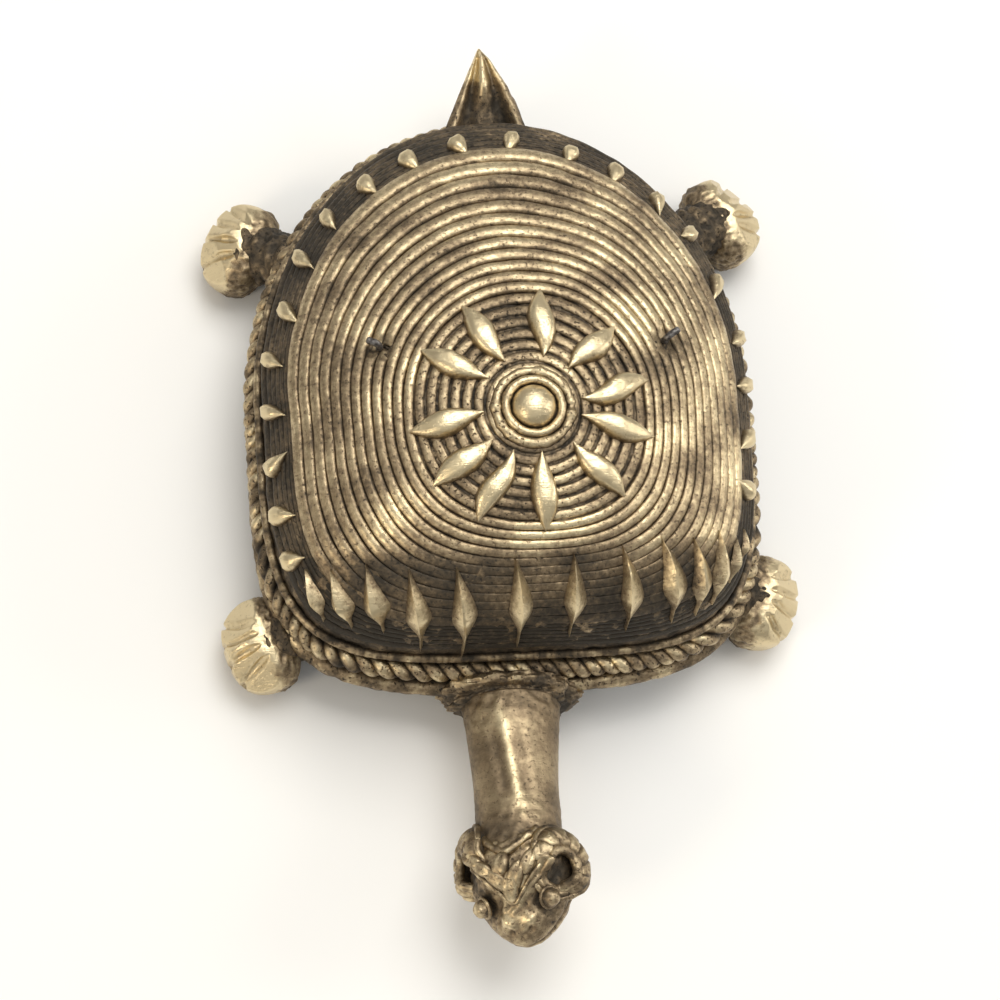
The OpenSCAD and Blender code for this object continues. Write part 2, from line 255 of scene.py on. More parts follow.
def cast(name, grids, material, body, nodes, sharp=None):
    """One piece from a list of closed grids, each (points in mm by row and column, relief,
    rows closed). Doubled points at poles are merged, `relief` is kept on the vertices, and
    edges over `sharp` degrees are left sharp."""
    all_points, all_relief, all_faces, first = [], [], [], 0
    for points, relief, closed_rows in grids:
        rows, cols = points.shape[:2]
        flat = points.reshape(-1, 3)
        all_faces.append(outward(flat, grid_faces(rows, cols, closed_rows)) + first)
        all_points.append(flat)
        all_relief.append(np.broadcast_to(relief, (rows, cols)).reshape(-1))
        first += rows * cols
    points, faces = np.concatenate(all_points) * MM, np.concatenate(all_faces)
    mesh = bpy.data.meshes.new(name)
    mesh.vertices.add(len(points))
    mesh.vertices.foreach_set("co", points.astype(np.float32).ravel())
    mesh.loops.add(faces.size)
    mesh.loops.foreach_set("vertex_index", faces.astype(np.int32).ravel())
    mesh.polygons.add(len(faces))
    mesh.polygons.foreach_set("loop_start", np.arange(0, faces.size, 4, dtype=np.int32))
    mesh.update(calc_edges=True)
    mesh.attributes.new("relief", "FLOAT", "POINT").data.foreach_set(
        "value", np.clip(np.concatenate(all_relief), 0, 1).astype(np.float32))
    weld(mesh)
    mesh.polygons.foreach_set("use_smooth", np.ones(len(mesh.polygons), bool))
    if sharp:
        mesh.set_sharp_from_angle(angle=math.radians(sharp))
    mesh.materials.append(material)
    piece = bpy.data.objects.new(name, mesh)
    scene.collection.objects.link(piece)
    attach(piece, body)
    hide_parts(*nodes)
    return piece


def sums(tree, operation, a, b):
    """The output of one arithmetic node."""
    return add_node(tree, "Math", {0: a, 1: b}, operation=operation).outputs[0]


def noise(tree, place, scale, detail=3.0, roughness=0.55):
    """The value of a noise whose blotches are 1/scale metres wide."""
    return add_node(tree, "TexNoise", {"Vector": place, "Scale": scale, "Detail": detail,
                                       "Roughness": roughness}).outputs[0]


def span(tree, value, low, high, to_low, to_high):
    """A value taken from one range to another, and held at its ends."""
    return add_node(tree, "MapRange", {0: value, 1: low, 2: high, 3: to_low, 4: to_high}).outputs[0]


def node_group(name, inputs, outputs):
    """An empty shader node group with those float, vector and colour sockets."""
    group = bpy.data.node_groups.new(name, "ShaderNodeTree")
    for socket, kind in inputs.items():
        group.interface.new_socket(socket, in_out="INPUT", socket_type="NodeSocket" + kind)
    for socket, kind in outputs.items():
        group.interface.new_socket(socket, in_out="OUTPUT", socket_type="NodeSocket" + kind)
    return group, group.nodes.new("NodeGroupInput").outputs, group.nodes.new("NodeGroupOutput").inputs


# Brass that was cast, left to darken and rubbed bright: where Relief is high the metal is
# pale and smooth, where it is low a brown-black skin is left, with blotches and pits.
worn, given, result = node_group(
    "worn_brass",
    {"Place": "Vector", "Relief": "Float", "Polish": "Float", "Pits": "Float", "Mottle": "Float"},
    {"Color": "Color", "Roughness": "Float", "Metallic": "Float", "Height": "Float", "Wear": "Float"})
blotch = noise(worn, given["Place"], 150, 4.0)
speck = noise(worn, given["Place"], 1300, 5.0, 0.65)
grain = noise(worn, given["Place"], 5200, 2.0)
rubbed = sums(worn, "ADD", sums(worn, "ADD", given["Relief"], given["Polish"]),
              sums(worn, "MULTIPLY", given["Mottle"],
                   sums(worn, "ADD", sums(worn, "MULTIPLY", sums(worn, "SUBTRACT", speck, 0.5), 1.1),
                        sums(worn, "MULTIPLY", sums(worn, "SUBTRACT", blotch, 0.5), 0.8))))
holes = span(worn, noise(worn, given["Place"], 2300, 2.0), 0.60, 0.68, 0, 1)
pit = sums(worn, "MULTIPLY", holes, given["Pits"])
wear = sums(worn, "SUBTRACT", rubbed, sums(worn, "MULTIPLY", pit, 0.45))
wear = add_node(worn, "Clamp", {0: wear}).outputs[0]
worn.links.new(ramp(worn, wear, [(0.0, (0.036, 0.029, 0.020)), (0.28, (0.115, 0.088, 0.058)),
                                 (0.52, (0.27, 0.205, 0.130)), (0.76, (0.47, 0.375, 0.235)),
                                 (1.0, (0.72, 0.60, 0.38))]), result["Color"])
worn.links.new(sums(worn, "ADD", span(worn, wear, 0, 1, 0.62, 0.29), sums(worn, "MULTIPLY", grain, 0.14)),
               result["Roughness"])
worn.links.new(span(worn, wear, 0.05, 0.45, 0.45, 1.0), result["Metallic"])
worn.links.new(sums(worn, "SUBTRACT", sums(worn, "ADD", sums(worn, "MULTIPLY", speck, 0.6),
                                           sums(worn, "MULTIPLY", grain, 0.25)), pit), result["Height"])
worn.links.new(wear, result["Wear"])

# Strokes of a file: a noise drawn out along one slanting direction, in fine parallel lines.
filed, given, result = node_group("file_marks", {"Place": "Vector"}, {"Height": "Float"})
turned = add_node(filed, "Mapping", {"Vector": given["Place"], "Rotation": (0.35, 0.2, 0.75),
                                     "Scale": (420, 4600, 900)})
stroke = noise(filed, turned.outputs[0], 1.0, 2.0)
filed.links.new(stroke, result["Height"])


def brass(name, polish, pits, strokes, depth, mottle=1.0):
    """A brass material: how bright it was rubbed, how pitted it is, how strong its file marks
    are, how deep its surface is in mm, and how spotted its colour is."""
    made = bpy.data.materials.new(name)
    made.use_nodes = True
    tree = made.node_tree
    shader = tree.nodes["Principled BSDF"]
    place = add_node(tree, "TexCoord", {}).outputs["Object"]
    relief = add_node(tree, "Attribute", {}, attribute_name="relief").outputs["Fac"]
    metal = add_node(tree, "Group", {}, node_tree=worn)
    for socket, value in {"Place": place, "Relief": relief}.items():
        tree.links.new(value, metal.inputs[socket])
    metal.inputs["Polish"].default_value = polish
    metal.inputs["Pits"].default_value = pits
    metal.inputs["Mottle"].default_value = mottle
    marks = add_node(tree, "Group", {}, node_tree=filed)
    tree.links.new(place, marks.inputs["Place"])
    height = sums(tree, "ADD", metal.outputs["Height"], sums(tree, "MULTIPLY", marks.outputs[0], strokes))
    bump = add_node(tree, "Bump", {"Height": height, "Strength": 1.0, "Distance": depth * MM})
    for socket in ("Color", "Roughness", "Metallic"):
        tree.links.new(metal.outputs[socket], shader.inputs["Base Color" if socket == "Color" else socket])
    tree.links.new(bump.outputs[0], shader.inputs["Normal"])
    return made


dark_ground = brass("dark_ground", -0.02, 0.9, 0.0, 0.10)
t = around(400)[None, :]
arc = np.radians(np.linspace(0.4, 90, 132))[:, None]
outside = dome(np.sin(arc), t)
normal = dome_axes(np.sin(arc) * 0.995, t)[2]
skin_noise = 0.10 * wander(outside, 3.2, 11) + 0.06 * wander(outside, 1.3, 12)
hole_depth = 1.7 * (1 - ease(hole_distance(outside), hole_r * 0.75, hole_r * 1.2))
outside = outside + normal * (skin_noise - sunk - hole_depth)[..., None]
# Inside the wire holes the relief falls to nothing, so they are painted near black: painted shade in the
# holes.
outside_relief = 0.22 + 0.9 * skin_noise - hole_depth
drop = np.linspace(0, 1, 9)[1:, None]
rim = ring_point(1.0, t, flare(t) * drop ** 1.4 - 0.1, ridge_z - (ridge_z - mouth_z) * drop)
rim_in = ring_point(1.0, t, flare(t) * (1 - drop) ** 1.4 - wall, mouth_z + (ridge_z - 1.0 - mouth_z) * drop)
arc_in = np.radians(np.linspace(89.6, 0.4, 46))[:, None]
inside = dome(np.sin(arc_in), t)
inside = inside - wall * dome_axes(np.sin(arc_in) * 0.99, t)[2]
inside = inside + 0.09 * wander(inside, 2.5, 13)[..., None] * np.array([0, 0, 1.0])
shell_points = np.concatenate([outside, rim, rim_in, inside])
shell_relief = np.concatenate([outside_relief, np.full(rim.shape[:2], 0.2), np.full(rim_in.shape[:2], 0.22),
                               0.2 + 0.12 * wander(inside, 4.0, 14)])
cast("carapace_shell_cast", [(shell_points, shell_relief, False)], dark_ground, "bell",
     ["carapace_shell"])

# ---- thread_rings ----
# Wax threads laid side by side round the shell and cast with it. The high ones are rubbed
# pale on top; the low ones between the petals and behind the front leaves stay dark.
ring_brass = brass("rubbed_threads", 0.06, 0.55, 0.35, 0.07)
low_inner, low_outer, high_inner, high_outer = 0.165, 0.435, 0.475, 0.885
low_count, high_count = 7, 12
high_step = (high_outer - high_inner) / (high_count - 1)
low_step = (low_outer - low_inner) / (low_count - 1)
leaf_field_y = -13.2


def laid_thread(s_mid, half_step, rise, seed, sides=12, spacing=0.42):
    """A thread round ring s_mid. Its section swings half a step across with the cosine of an
    angle and stands up with the sine, both to the power 0.7, which makes it fuller than a
    circle; it gets low and dark in the leaf field and stops at the wire holes."""
    length = 2 * np.pi * shell_half_w * s_mid * 1.1
    t = around(int(length / spacing))[:, None]
    a = around(sides)[None, :]
    line = dome(s_mid, t[:, 0])
    sway = 0.0026 * wander(line, 16.0, 31)[:, None] + 0.0006 * wander(line, 5.0, seed)[:, None]
    pitch = np.linalg.norm(dome(s_mid + half_step, t[:, 0]) - dome(s_mid - half_step, t[:, 0]), axis=-1)
    field = 1 - ease(line[:, 1] + 0.31 * (line[:, 2] - 30), leaf_field_y - 3.0, leaf_field_y)
    kept = (1 - 0.62 * field) * ease(hole_distance(line), 1.0, 2.2)
    high = (rise * pitch * kept * (1 + 0.06 * wander(line, 3.4, seed + 1)))[:, None]
    s = s_mid + sway + half_step * np.sign(np.cos(a)) * abs(np.cos(a)) ** 0.7 * np.ones_like(t)
    cut = np.sign(np.sin(a)) * abs(np.sin(a)) ** 0.7
    points = dome(s, t * np.ones_like(a))
    points = points + dome_axes(s, t * np.ones_like(a))[2] * (high * cut - sunk)[..., None]
    relief = (0.22 + 0.50 * np.clip(np.sin(a), 0, 1) ** 0.8) * (1 - 0.62 * field[:, None])
    # The threads are also made darker towards the bell's left side (negative x): painted shade on that side.
    relief = relief + 0.13 * wander(points, 8.0, 33) - 0.10 * ease(-points[..., 0], 4, 24)
    return points, relief, True


rings = [laid_thread(high_inner + i * high_step, high_step / 2, 0.40, 40 + 2 * i)
         for i in range(high_count)]
cast("thread_rings_cast", rings, ring_brass, "bell", ["thread_rings"])
ground_threads = [laid_thread(low_inner + i * low_step, low_step * 0.42, 0.26, 80 + 2 * i)
                  for i in range(low_count)]
cast("petal_ground_threads", ground_threads, brass("dark_threads", -0.10, 0.8, 0.0, 0.09), "bell",
     [])


# ---- rim_ridge ----
# A wax thread at the foot of the carapace, nicked all round with a blade while soft.
def swept(path, radius, sides, closed):
    """A tube: circles of the given radii round a path. The circles stand across the path, with
    their second axis as near upright as it can be."""
    ahead = np.roll(path, -1, 0) - np.roll(path, 1, 0)
    if not closed:
        ahead[0], ahead[-1] = path[1] - path[0], path[-1] - path[-2]
    ahead = unit(ahead)
    hint = np.where(abs(ahead[:, 2:]) > 0.95, [[0.0, 1.0, 0.0]], [[0.0, 0.0, 1.0]])
    across = unit(np.cross(ahead, hint))
    above = np.cross(across, ahead)
    a = around(sides)[None, :, None]
    ring = np.cos(a) * across[:, None] + np.sin(a) * above[:, None]
    return path[:, None] + np.asarray(radius).reshape(-1, 1, 1) * ring


def outer_side(points, middle, low, high):
    """Relief from low to high by how far a point stands out, upwards and away from the bell's
    upright axis in equal part, from the path that it belongs to."""
    away = middle - np.array([0.0, rosette_y + mid_shift, 0.0])
    away[:, 2] = np.linalg.norm(away[:, :2], axis=-1)
    out = ((points - middle[:, None]) * unit(away)[:, None]).sum(-1)
    return low + (high - low) * ease(out, -0.2, 1.0)


ridge_r, nick_count = 0.85, 236
t = around(nick_count * 5)
line = ring_point(1.0, t, 0.35, ridge_z + 0.06 * wander(dome(1.0, t), 9.0, 51))
nicks = abs(np.cos(t * nick_count / 2 + 0.8 * wander(line, 6.0, 52))) ** 0.6
nick_depth = 0.10 * ease(wander(line, 12.0, 50), -0.5, 0.5)
bead_r = ridge_r * (0.74 + nick_depth * (nicks - 1) + 0.05 * wander(line, 2.2, 53))
bead = swept(line, bead_r, 10, True)
bead_relief = outer_side(bead, line, 0.05, 0.66) * (0.6 + 0.4 * nicks[:, None])
bead_relief = bead_relief + 0.2 * wander(bead, 2.6, 49)
cast("rim_ridge_cast", [(bead, bead_relief, True)], ring_brass, "bell", ["rim_ridge"])

# ---- rim_rope ----
# Two wax threads twisted together into a rope and wrapped round under the ridge.
rope_r, strand_r, turns = 1.52, 0.86, 58
t = around(turns * 26)
core = ring_point(1.0, t, 0.35 * flare(t) + 0.5, ridge_z - 2.5)
core[:, 2] += 0.10 * wander(core, 16.0, 54)
along = unit(np.roll(core, -1, 0) - np.roll(core, 1, 0))
aside = unit(np.cross(along, [0.0, 0.0, 1.0]))
strands = []
for start in (0, np.pi):
    twist = (start - t * turns + 0.9 * wander(core, 14.0, 55))[:, None]
    line = core + (rope_r - strand_r) * (np.cos(twist) * aside + np.sin(twist) * np.cross(aside, along))
    strand = swept(line, strand_r * (1 + 0.06 * wander(line, 1.8, 56)), 10, True)
    from_core = np.linalg.norm(strand - core[:, None], axis=-1)
    strand_relief = 0.04 + 0.66 * ease(from_core, 0.80, rope_r) + 0.20 * wander(strand, 4.0, 57)
    strands.append((strand, strand_relief, True))
cast("rim_rope_cast", strands, brass("rope_brass", -0.02, 1.0, 0.2, 0.10), "bell", ["rim_rope"])

# ---- rim_lip ----
# A plain thick thread that finishes the bell's mouth. It was left rough from the mould.
lip_r, lip_up = 1.2, 0.789
t = around(620)
line = ring_point(1.0, t, flare(t) + 0.22, mouth_z + lip_up)
lip = swept(line, lip_r * (0.96 + 0.05 * wander(line, 4.0, 59)), 16, True)
lip += 0.05 * wander(lip, 1.6, 60)[..., None]
lip_relief = outer_side(lip, line, 0.15, 0.6) + 0.16 * wander(lip, 5.0, 61)
cast("rim_lip_cast", [(lip, lip_relief, True)], brass("rough_brass", -0.04, 1.0, 0.0, 0.12), "bell",
     ["rim_lip"])

# ---- band_threads ----
# Fine wax threads that line the sunken band above the ridge and the foot of the front.
# They lie low in the shell's ground, so they belong to its casting and stay dark.
band = [laid_thread(0.912 + 0.0145 * i, 0.0068, 0.42, 130 + 2 * i, 8, 0.55) for i in range(6)]
dim_band = [(points, relief * 0.55, closed) for points, relief, closed in band]
cast("band_ground_threads", dim_band, brass("band_brass", -0.16, 0.8, 0.0, 0.09), "bell", [])

# ---- drop_studs ----
# Wax drops pulled out to a tail and pressed on round the band, fat end at the ridge.
# The fat ends stand proud, so they were filed bright.
filed_brass = brass("filed_brass", 0.22, 0.45, 0.8, 0.055)


def on_shell(s, t, x, y, z, spin):
    """Points at (x sideways, y up the slope, z outwards) of the place (s, t) on the dome, after
    a turn by spin; they follow the dome, since the slope distance changes the ring."""
    across = x * math.cos(spin) - y * math.sin(spin)
    up_slope = x * math.sin(spin) + y * math.cos(spin)
    slope_mm = np.linalg.norm(dome(s + 0.01, t) - dome(s - 0.01, t)) / 0.02
    turn_mm = np.linalg.norm(dome(s, t + 0.01) - dome(s, t - 0.01)) / 0.02
    ring = np.clip(s - up_slope / slope_mm, 0.05, 0.999)
    heading = t + across / turn_mm * s / np.clip(s - up_slope / slope_mm, 0.2, 1)
    return dome(ring, heading) + z[..., None] * dome_axes(ring, heading)[2]


def drop_shape(length, fat, tall, curl, seed, rows=22, cols=12):
    """A drop lying along y: its width is a round end that thins to a tail, its height follows
    the width, and its middle line bends sideways with the square of the distance."""
    v = np.linspace(0, 1, rows)[:, None]
    a = around(cols)[None, :]
    width = fat * np.sqrt(np.clip(v * 6, 0, 1)) * (1 - ease(v, 0.2, 1.0) * 0.85) * (1 - v ** 8)
    x = width * np.cos(a) + curl * v ** 2
    y = length * (v - 0.25) * np.ones_like(a)
    z = tall * (width / fat) ** 0.8 * np.clip(np.sin(a), -0.4, 0.86)
    bumps = 0.05 * wander(np.stack([x, y, z], -1) + seed, 1.6, seed)
    return x, y, z + bumps, 0.25 + 0.75 * np.clip(np.sin(a), 0, 1) * np.ones_like(v)


# (heading, ring) of each stud, listed from the right of the front round the back
# to the left of the front. A heading is in degrees from the bell's right-hand side.
stud_places = [(-24, 0.930), (-12, 0.945), (1, 0.960), (11, 0.965), (24, 0.945), (36, 0.960),
               (47, 0.945), (59, 0.935), (71, 0.925), (86, 0.930), (100, 0.930), (113, 0.935),
               (125, 0.940), (137, 0.950), (148, 0.955), (160, 0.940), (171, 0.965), (182, 0.965),
               (195, 0.965), (205, 0.965), (214, 0.965)]
draw = np.random.default_rng(7)
studs = []
for i, (heading, ring) in enumerate(stud_places):
    length, fat, curl = draw.uniform(4.4, 5.8), draw.uniform(1.15, 1.45), draw.uniform(-0.5, 1.2)
    x, y, z, relief = drop_shape(length, fat, 1.5, curl, i)
    stud = on_shell(ring, math.radians(heading), x, y, z + 0.35, draw.uniform(-0.2, 0.5))
    studs.append((stud, relief, False))
cast("drop_studs_cast", studs, filed_brass, "bell", ["drop_studs"])

# ---- front_leaves ----
# Long leaves cut from sheet wax and stood along the front of the shell. Each has a keel, a
# sharp tip and a thin stalk down to the ridge; the casting was filed into bright facets.
def leaf_shape(length, half, tall, sway, keel_at, seed, rows=34, cols=14):
    """A keeled leaf along y: its width grows from a thin stalk to 0.42 of the length and then
    tapers to a point, its height is a roof over the width, higher where it is wide, and its
    middle line bows sideways in a half sine. Most columns are its top, the rest its back."""
    v = np.linspace(0, 1, rows)[:, None]
    a = (np.arange(cols) / cols)[None, :]
    top_share = 0.72
    top = a < top_share
    swell = ease(v, 0.10, 0.42) * (1 - np.clip((v - 0.42) / 0.58, 0, 1) ** 1.35)
    width = half * (0.13 * (1 - ease(v, 0.3, 0.9)) * (v > 0) + 0.87 * swell)
    w = np.where(top, 1 - 2 * a / top_share, (2 * a - 1 - top_share) / (1 - top_share))
    keel = keel_at * np.sin(v * np.pi) * 0.6
    roof = np.clip(np.where(w < keel, (w + 1) / (keel + 1), (1 - w) / (1 - keel)), 0, 1)
    z = np.where(top, tall * (0.25 + 0.75 * swell) * roof ** 0.85, -0.5)
    x = width * w + sway * np.sin(v * np.pi)
    y = length * (v - 0.5) * np.ones_like(a)
    relief = np.where(top, 0.26 + 0.62 * roof * (0.3 + 0.7 * swell) + 0.12 * (w > keel), 0.1)
    return x, y, z + 0.04 * wander(np.stack([x, y, z], -1) + seed, 2.0, seed), relief


# (heading, ring, lean, length) of each leaf from left to right.
leaf_places = [(-138, 0.960, 62, 7.6), (-134, 0.920, 56, 9.2), (-129, 0.868, 46, 11.2),
               (-120, 0.855, 34, 14.2), (-110, 0.830, 25, 14.4), (-96, 0.790, 11, 13.2),
               (-80, 0.770, -8, 12.2), (-65, 0.775, -17, 13.2), (-54, 0.800, -23, 13.4),
               (-48, 0.850, -33, 11.9), (-43, 0.885, -48, 10.6), (-39, 0.922, -60, 6.6),
               (-35, 0.945, -70, 4.2)]
leaves = []
for i, (heading, ring, lean, length) in enumerate(leaf_places):
    fat = 0.55 + 0.45 * ease(length, 4, 11)
    right_half = heading > -80
    half, keel_at = draw.uniform(1.5, 1.75) * fat, draw.uniform(-0.5, 0.1) - 0.3 * right_half
    x, y, z, relief = leaf_shape(length, half, 1.8 * fat, 0.3 + 0.5 * right_half * fat, keel_at, 20 + i)
    leaf = on_shell(ring, math.radians(heading), x, y, z + 0.15, math.radians(lean))
    leaves.append((leaf, relief, False))
cast("front_leaves_cast", leaves, filed_brass, "bell", ["front_leaves"], 28)

# ---- rosette_petals ----
# Eleven wax spindles laid by eye round the boss, each swollen in the middle and drawn out thin
# at its ends; their tops were filed and polished.
petal_dirs = [79, 42, 10, -15, -47, -87, -118, -143, -171, -211, -240]
petal_len, petal_half, petal_at = 10.0, 1.7, 11.3


def spindle_shape(length, half, tall, bend, seed, rows=30, cols=14):
    """A spindle along y: its width is a sine hump a little past the middle, on a thin thread
    as long as the piece; its top is a flattened half round, and its middle line is an S."""
    v = np.linspace(0, 1, rows)[:, None]
    a = around(cols)[None, :]
    hump = np.sin(np.pi * v ** 1.12) ** 1.05
    width = half * (0.94 * hump + 0.10 * np.sin(np.pi * v) ** 0.3)
    x = width * np.cos(a) + bend * np.sin(2 * np.pi * v)
    y = length * (v - 0.5) * np.ones_like(a)
    z = tall * (0.30 + 0.70 * hump) * np.clip(np.sin(a) * 1.25, -0.5, 1.0)
    relief = 0.30 + 0.72 * np.clip(np.sin(a), 0, 1) ** 0.7 * (0.55 + 0.45 * hump)
    return x, y, z + 0.06 * wander(np.stack([x, y, z], -1) + seed, 1.9, seed), relief


petals = []
for i, turn in enumerate(petal_dirs):
    length, half = petal_len + draw.uniform(-0.4, 0.4), petal_half * draw.uniform(0.92, 1.06)
    x, y, z, relief = spindle_shape(length, half, 1.7, draw.uniform(-0.4, 0.4), 60 + i)
    spin = draw.uniform(-0.12, 0.12)
    petal = on_shell(petal_at / shell_half_w, math.radians(turn), x, -y, z + 0.1, spin)
    petals.append((petal, relief, False))
cast("rosette_petals_cast", petals, filed_brass, "bell", ["rosette_petals"])

# ---- rosette_boss, rosette_inner_ring, rosette_outer_ring ----
# A wax ball pressed flat makes the boss; one smooth thread and one rough one ring it.
def spun(profile, axis_point, seed, rough, cols=96):
    """A profile of (radius, height) points turned round an upright axis, and made uneven."""
    a = around(cols)[None, :]
    r, z = (np.asarray(profile, float)[:, i][:, None] for i in (0, 1))
    points = np.stack([r * np.cos(a), r * np.sin(a), z * np.ones_like(a)], -1) + axis_point
    return points + (rough * wander(points, 1.7, seed) * (r > 0))[..., None] * np.array([0.7, 0.7, 0.4])


boss_r, boss_z, boss_rise, boss_foot = 3.0, 33.75, 2.5, 32.8
boss_edge = [(boss_r * math.cos(b) ** 0.9, boss_z + boss_rise * math.sin(b))
             for b in np.linspace(math.pi / 2, 0.05, 20)[1:]]
boss = spun([(0, boss_z + boss_rise)] + boss_edge + [(boss_r + 0.02, boss_foot), (0, boss_foot)],
            [0, rosette_y, 0], 71, 0.03)
boss_relief = 0.35 + 0.65 * ease(boss[..., 2], 33.8, 35.6)
cast("rosette_boss_cast", [(boss, boss_relief, False)], filed_brass, "bell", ["rosette_boss"])


def ring_thread(radius, thick, z, seed, rough):
    """A level ring of round thread, made uneven by noise."""
    a = around(150)
    line = np.stack([radius * np.cos(a), rosette_y + radius * np.sin(a), np.full_like(a, z)], -1)
    tube = swept(line, thick * (1 + rough * wander(line, 1.8, seed)), 14, True)
    return tube, 0.1 + 0.75 * ease(tube[..., 2], z - 0.1, z + thick * 0.9), True


cast("rosette_inner_ring_cast", [ring_thread(3.65, 0.60, 34.30, 72, 0.06)], ring_brass, "bell",
     ["rosette_inner_ring"])
cast("rosette_outer_ring_cast", [ring_thread(4.9, 0.72, 33.85, 73, 0.16)],
     brass("rough_ring", -0.02, 1.0, 0.0, 0.11), "bell", ["rosette_outer_ring"])

# ---- tail ----
# A pointed wax tongue stuck to the back of the shell. Its two edges and its middle are
# raised, with a hollow between them, and the left facet near its tip was filed bright.
def closed_ends(points, relief):
    """A tube as `cast` takes it, with each open end drawn to a point in its middle."""
    ends = [np.repeat(points[i].mean(0)[None, None], points.shape[1], 1) for i in (0, -1)]
    relief = np.broadcast_to(relief, points.shape[:2])
    return np.concatenate([ends[0], points, ends[1]]), np.pad(relief, ((1, 1), (0, 0)), "edge"), False


tail_root, tail_len, tail_rise = np.array([0.0, rosette_y + shell_rear - 0.5, 13.0]), 12.7, math.radians(14)
top_cols, under_cols = 33, 7
v = np.linspace(0, 1, 44)[:, None]
w = np.concatenate([np.linspace(-1, 1, top_cols), np.linspace(0.8, -0.8, under_cols)])[None, :]
upper = (np.arange(top_cols + under_cols) < top_cols)[None, :]
half = 6.1 * (1 - v) ** 0.95 + 0.12 + 0.7 * np.sin(np.pi * v) * (w > 0)
bar = np.exp(-((abs(w) - 0.80) / (0.15 + 0.1 * v)) ** 2) * (1 - 0.55 * v)
spine = np.exp(-(w / (0.14 + 0.4 * v)) ** 2) * ease(v, 0.25, 0.62) * (1 - 0.3 * v)
hollow = np.exp(-((abs(w) - 0.46) / 0.2) ** 2) * (1 - v) ** 0.6
lift = np.where(upper, 0.5 + 1.35 * bar + 1.9 * spine - 0.9 * hollow, -1.3 + 0.6 * v)
lift = lift * np.clip((1 - v) * 9, 0.12, 1)
tail = np.stack([half * w - 0.35 * v, tail_len * v * np.cos(tail_rise) - lift * np.sin(tail_rise),
                 tail_len * v * np.sin(tail_rise) + lift * np.cos(tail_rise)], -1) + tail_root
tail = tail + (0.09 * wander(tail, 1.9, 90) * (1 - 0.7 * v))[..., None] * np.array([0.4, 0.4, 1.0])
tail_relief = np.where(upper, 0.28 + 0.45 * bar + 0.62 * spine - 0.35 * hollow + 0.30 * ease(v, 0.35, 0.9)
                       + 0.40 * ease(v, 0.60, 0.66) * (w < 0.25), 0.25)
cast("tail_cast", [closed_ends(tail, tail_relief)], brass("tail_brass", 0.06, 0.8, 0.5, 0.08),
     "bell", ["tail"])

# ---- neck_collar, neck ----
# The neck is a waisted roll of wax let into a double collar of rough threads under the
# front rim. The grip has polished its middle; both its ends are pitted.
neck_root = np.array([-2.0, rosette_y - shell_front - flare_front - 1.2, 8.6])
neck_rise, neck_lean, neck_len = math.radians(12), math.radians(-2.8), 19.0


def turned_axes(lean, rise):
    """The rows are a frame's own X, Y and Z: Z points ahead and up by rise, then leans sideways."""
    tilt = math.pi / 2 - rise
    return np.array(Matrix.Rotation(lean, 3, "Z") @ Matrix.Rotation(tilt, 3, "X")).T


neck_axes = turned_axes(neck_lean, neck_rise)
v = np.linspace(0, 1, 90)[:, None]
a = around(128)[None, :]
neck_r = 5.25 + 1.45 * (1 - v) ** 2.4 + 0.85 * v ** 4
neck_wide, neck_tall = 1 + 0.02 * np.sin(3 * v), 0.98 - 0.12 * (1 - v) ** 3
neck_z = (2.2 + (neck_len + 3.0) * v) * np.ones_like(a)
neck = np.stack([neck_r * np.cos(a) * neck_wide, neck_r * np.sin(a) * neck_tall, neck_z], -1)
ends = 1 - np.sin(np.pi * np.minimum(v * 1.15, 1)) ** 0.7
neck_noise = (0.004 + 0.10 * ends) * wander(neck, 1.5, 92) + 0.04 * wander(neck, 8.0, 93)
# Two long filed facets meet in a slanting edge on the upper left of the grip.
facet_edge = a - (2.05 - 0.55 * v)
facets = np.exp(-((facet_edge - 0.28) / 0.16) ** 2) + np.exp(-((facet_edge + 0.24) / 0.16) ** 2)
neck_noise = neck_noise - 0.30 * facets * ease(v, 0.12, 0.3) * ease(1 - v, 0.25, 0.4)
level_only = np.array([1, 1, 0])
neck = neck * (1 + (neck_noise / 5.5)[..., None] * level_only) @ neck_axes + neck_root
# The upper side of the grip is made a little lighter and its left and right sides darker: painted light from
# above and painted shade at the sides.
neck_relief = 0.60 - 0.30 * ends + 0.5 * neck_noise + 0.06 * np.sin(a) - 0.12 * abs(np.cos(a)) ** 3
neck_relief = neck_relief + 0.36 * np.exp(-(facet_edge / 0.10) ** 2) * (1 - ends)
neck_relief = neck_relief + 0.07 * wander(neck, 7.0, 94)
cast("neck_cast", [closed_ends(neck, neck_relief)], brass("gripped_brass", 0.06, 0.4, 0.5, 0.06, 0.45),
     "bell", ["neck"])

v = np.linspace(0, 1, 46)[:, None]
threads = np.sin(np.pi * (1.7 * v + 0.1))
collar_z = (-0.3 + 3.2 * v) * np.ones_like(a)
collar_r = 8.8 - 1.4 * ease(v, 0.48, 0.62) + 0.75 * np.sqrt(abs(threads)) - 2.5 * v ** 9
collar_flat = 0.69 - 0.06 * (a > np.pi)
collar = np.stack([collar_r * np.cos(a), collar_flat * collar_r * np.sin(a) - 0.3, collar_z], -1)
rough = 0.30 * wander(collar, 2.6, 95) + 0.18 * wander(collar, 0.9, 96)
collar = collar * (1 + (rough / 8)[..., None] * level_only) @ neck_axes + neck_root
cast("neck_collar_cast", [closed_ends(collar, 0.42 + 0.5 * rough + 0.18 * threads)],
     brass("collar_brass", -0.06, 1.0, 0.0, 0.13), "bell", ["neck_collar"])

# ---- skull ----
# A ball of wax drawn out to a blunt snout, with pressed eye hollows, nostrils and a cut
# mouth line. The head was set on with its brow rolled over towards its left horn.
head_roll = math.radians(26)
head_axes = np.array(Matrix.Rotation(-head_roll, 3, "Z")) @ neck_axes
head_root = neck_root + (neck_len + 7.6) * neck_axes[2]
skull_back, skull_len = -6.9, 15.9
eye_place = np.array([4.6, 3.0, 4.5])


